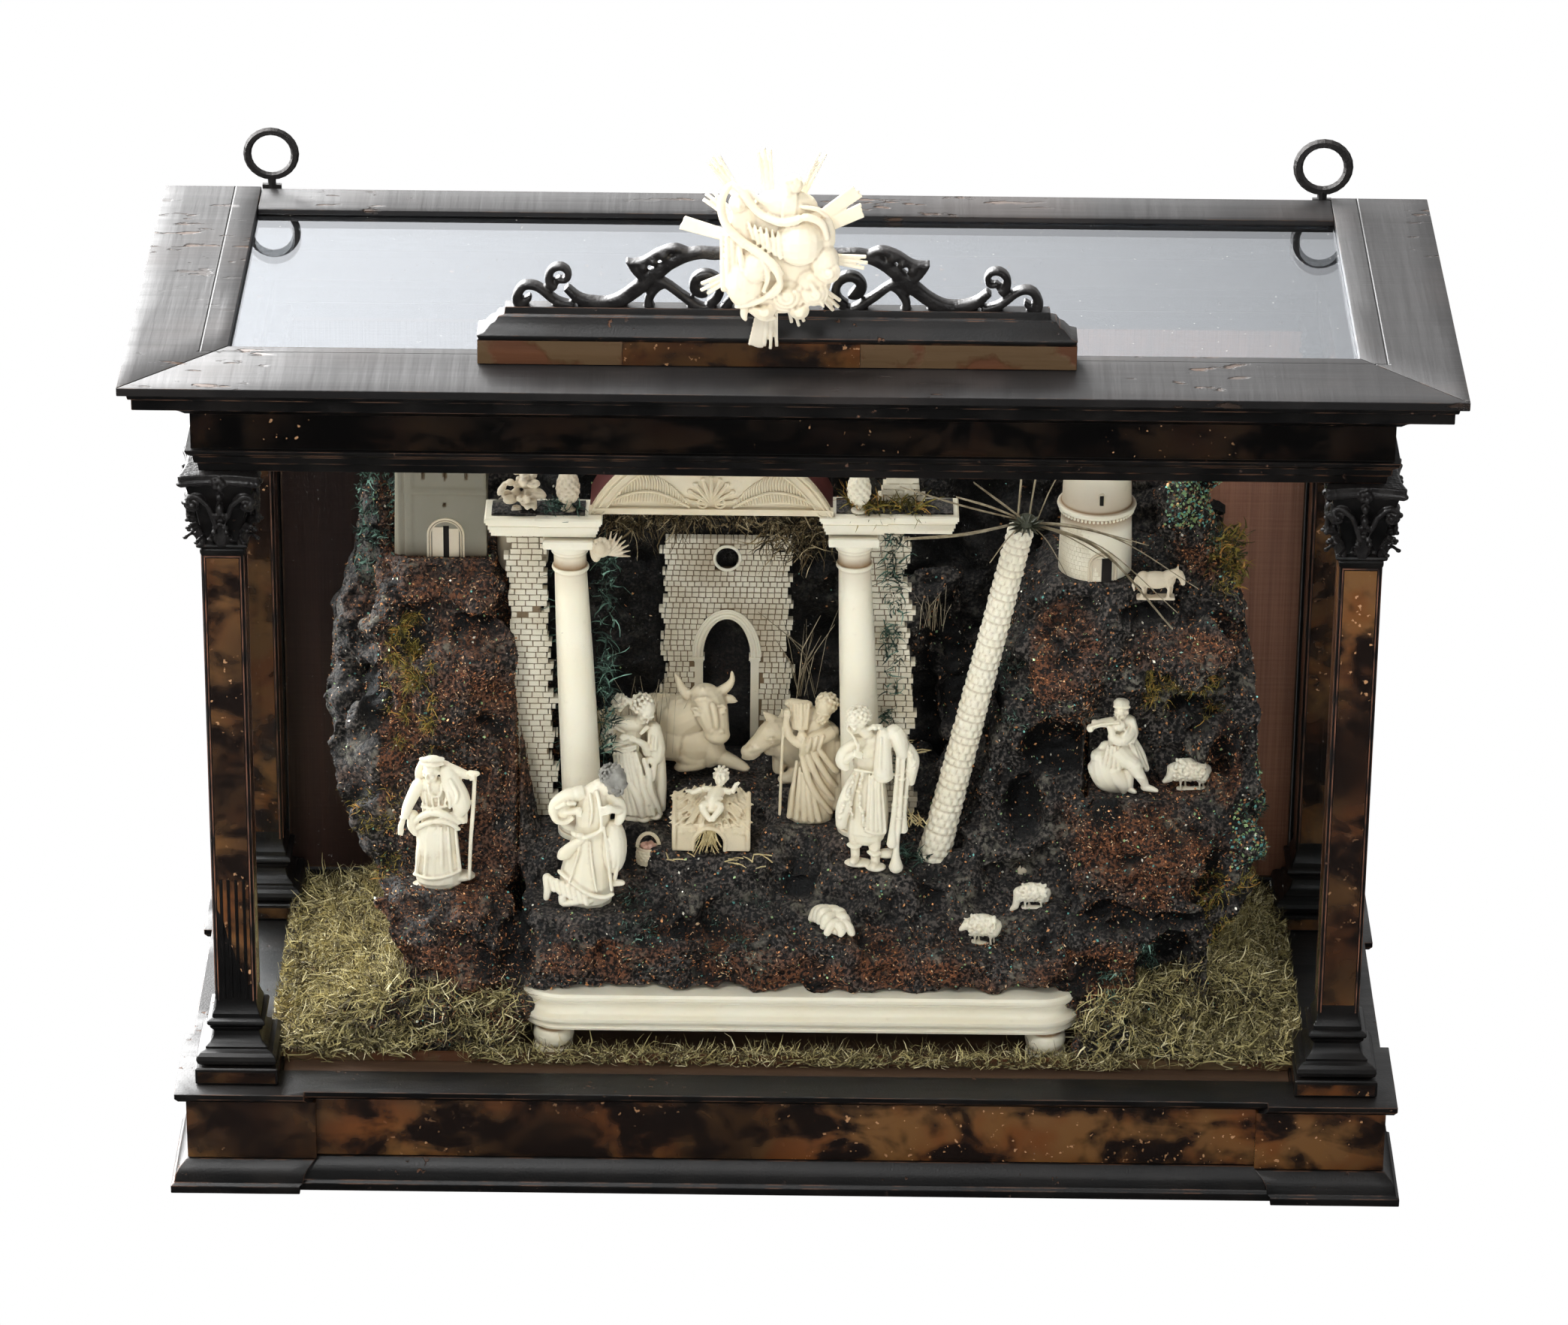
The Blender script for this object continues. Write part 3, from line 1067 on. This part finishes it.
def palm():
    foot = Vector((0, 0, -2))
    top = Vector(PALM_TOP) - Vector(PALM)
    bm = bmesh.new()
    rings = 15
    for i in range(rings):
        wide = 7.4 - 2.5 * i / rings
        ends = foot.lerp(top, i / rings), foot.lerp(top, (i + 1) / rings)
        limb(bm, *ends, wide - 0.7, wide + 0.4, 10, False)
    fronds = (
        (48, -4, 4), (62, -10, -38), (66, -8, -22), (-36, -6, 26), (-24, 2, 20),
        (8, 0, 30), (30, 6, 18), (-14, -12, 8), (20, -14, -10),
    )
    start = top - Vector((0, 0, 2))
    for reach in fronds:
        limb(bm, start, start + Vector(reach), 1.8, 0.9, 6, False)
    carved("palm_tree", bm, "ivory", PALM)


def standing(bm, tall, lean, arms):
    """Body, skirt and head of a robed figure facing the front, `tall` in millimetres."""
    k = tall / 66
    limb(bm, (0, 0, 0), (0, 0, 30 * k), 9.5 * k, 7 * k, 10, False)
    ball(bm, (lean * 0.5, 0, 36 * k), (8.2 * k, 6.4 * k, 11 * k))
    ball(bm, (lean, 0, 48 * k), (7.8 * k, 5.4 * k, 6.5 * k))
    limb(bm, (lean, 0, 50 * k), (lean * 1.2, -0.6, 56 * k), 2.6 * k, 2.6 * k)
    ball(bm, (lean * 1.3, -1, 60 * k), (4.2 * k, 4.6 * k, 5.4 * k))
    limb(bm, (-10 * k, 0, 0), (10 * k, 0, 0), 5 * k, 5 * k, 8)
    for start, end in arms:
        limb(bm, start, end, 2.9 * k, 2.3 * k)


def figures():
    bm = bmesh.new()
    arms = [((-6, -1, 47), (-12, -3, 37)), ((-12, -3, 37), (-17, -5, 27)), ((7, -1, 47), (13, -4, 40))]
    standing(bm, 67, -1, arms)
    limb(bm, (16, -6, 2), (15, -5, 58), 1.3, 1.3, 6)
    ball(bm, (0, 0, 66), (6.5, 6.5, 1.8))
    carved("woman_with_staff", bm, "ivory", WOMAN)

    bm = bmesh.new()
    limb(bm, (-6, 2, 0), (2, 2, 30), 15, 9, 10, False)
    ball(bm, (4, 3, 34), (9.5, 8, 15), tilt=0.25)
    ball(bm, (6, -2, 54), (5.6, 5.6, 6))
    limb(bm, (-2, -2, 40), (-14, -6, 32), 4.5, 3.4)
    limb(bm, (12, 0, 40), (15, -6, 28), 4, 3)
    ball(bm, (-4, 1, 5), (16, 9, 6))
    carved("kneeling_shepherd", bm, "ivory", KNEELING)

    bm = bmesh.new()
    arms = [((-6, 0, 45), (-7, -6, 36)), ((-7, -6, 36), (2, -7, 36)), ((6, 0, 45), (7, -6, 36))]
    standing(bm, 64, 0, arms)
    carved("mother_figure", bm, "ivory", MOTHER)

    bm = bmesh.new()
    arms = [((-5, -1, 46), (-9, -6, 38)), ((-9, -6, 38), (-9, -6, 47)), ((5, 0, 46), (4, -6, 36))]
    standing(bm, 65, -4, arms)
    carved("father_figure", bm, "aged_ivory", FATHER)

    bm = bmesh.new()
    for side in (-1, 1):
        limb(bm, (side * 4.6, 0, 0), (side * 3.4, 0, 26), 3.3, 4.2)
        limb(bm, (side * 5, -4, 1), (side * 4.6, 1, 1.5), 2.8, 2.8)
    limb(bm, (0, 0, 22), (0, 0, 42), 10, 7.6, 10, False)
    ball(bm, (0, 0, 49), (8.4, 5.8, 9))
    ball(bm, (-2, -1, 66), (4.9, 5.2, 6.2))
    limb(bm, (-1, 0, 55), (-1.6, 0, 61), 2.8, 2.8)
    ball(bm, (9, -4, 50), (6, 4.6, 10))
    limb(bm, (8, -7, 54), (13, -6, 24), 1.6, 2.4, 6)
    limb(bm, (14, -6, 50), (16, -5, 22), 1.5, 2.2, 6)
    limb(bm, (-7, -1, 50), (-9, -5, 40), 3, 2.6)
    limb(bm, (-9, -5, 40), (0, -7, 46), 2.6, 2.4)
    limb(bm, (12, 2, 0), (12, 2, 40), 2.0, 1.6, 6)
    limb(bm, (-9, 0, 0), (13, 0, 0), 4.5, 4.5, 8)
    carved("bagpipe_shepherd", bm, "ivory", PIPER)

    bm = bmesh.new()
    ball(bm, (-5, 2, 8), (11, 10, 11))
    ball(bm, (-2, 1, 26), (6.6, 5, 10), tilt=-0.15)
    ball(bm, (-1, -1, 39), (4.1, 4.1, 4.6))
    limb(bm, (-1, -1, 17), (8, -5, 15), 3.6, 3)
    limb(bm, (8, -5, 15), (12, -5, 2), 3, 2.2)
    limb(bm, (2, 0, 32), (9, -5, 26), 2.6, 2.2)
    limb(bm, (-7, 0, 32), (-3, -6, 28), 2.6, 2.2)
    limb(bm, (-8, -7, 24), (10, -7, 31), 1.0, 1.0, 6)
    limb(bm, (-10, 1, 0), (13, -3, 0), 4, 4)
    carved("seated_musician", bm, "ivory", MUSICIAN)


def animals():
    bm = bmesh.new()
    ball(bm, (0, 2, 13), (28, 11, 14))
    ball(bm, (17, -4, 19), (12, 9, 14))
    ball(bm, (26, -11, 27), (8.5, 7, 9.5))
    limb(bm, (26, -13, 26), (30, -18, 20), 6.5, 5.2)
    for side in (-1, 1):
        limb(bm, (26 + side * 6, -10, 33), (26 + side * 12, -12, 40), 2.2, 1.2)
        limb(bm, (26 + side * 7, -9, 30), (26 + side * 13, -9, 29), 2.4, 1.4)
    limb(bm, (-20, -4, 5), (0, -11, 3), 6, 4)
    limb(bm, (16, -6, 5), (8, -14, 3), 5, 3.4)
    carved("ox", bm, "aged_ivory", OX)

    bm = bmesh.new()
    ball(bm, (8, 2, 13), (22, 10, 13))
    limb(bm, (-6, -2, 18), (-16, -8, 26), 7, 6)
    limb(bm, (-14, -8, 28), (-25, -13, 20), 5.8, 4.2)
    for side in (-1, 1):
        limb(bm, (-12, -6 + side * 4, 33), (-7, -4 + side * 6, 40), 2.2, 1.3)
    limb(bm, (-6, -6, 5), (-14, -10, 3), 4, 3)
    carved("donkey", bm, "aged_ivory", DONKEY)

    flock = (("sheep_on_ledge", SHEEP_LEDGE, 1), ("sheep_on_path", SHEEP_PATH, -1), ("sheep_in_front", SHEEP_FRONT, 1))
    for name, spot, side in flock:
        bm = bmesh.new()
        ball(bm, (0, 0, 9.4), (8.4, 4.4, 4.6))
        limb(bm, (-side * 6, 0, 11), (-side * 10.5, -1, 9), 3, 2.1)
        for x in (-5.2, 5.2):
            for y in (-2.2, 2.2):
                limb(bm, (x, y, 0), (x, y, 7), 1.3, 1.5, 6)
        ball(bm, (0, 0, 0.4), (9.5, 5, 1.6))
        carved(name, bm, "ivory", spot)

    bm = bmesh.new()
    ball(bm, (0, 0, 4.4), (8.4, 7.2, 5.2))
    ball(bm, (-4, -3, 7.6), (4, 3.2, 3.2))
    carved("lamb_resting", bm, "ivory", LAMB)

    bm = bmesh.new()
    add_box(bm, (-17, -9, 0), (17, 9, 17))
    limb(bm, (-4, 0, 20), (6, -3, 23), 4.4, 3.2)
    ball(bm, (8.6, -3.4, 25.5), 3.3)
    limb(bm, (0, -7, 8), (0, -13, 3), 5.5, 4.0)
    carved("manger_with_child", bm, "ivory", MANGER)


def build():
    clear_scene()
    base()
    pillars()
    entablature()
    roof()
    glazing()
    back_door()
    hanging_rings()
    crest()
    glory()
    ivory_stand()
    rocks()
    temple()
    walls()
    house_and_tower()
    palm()
    figures()
    animals()


build()
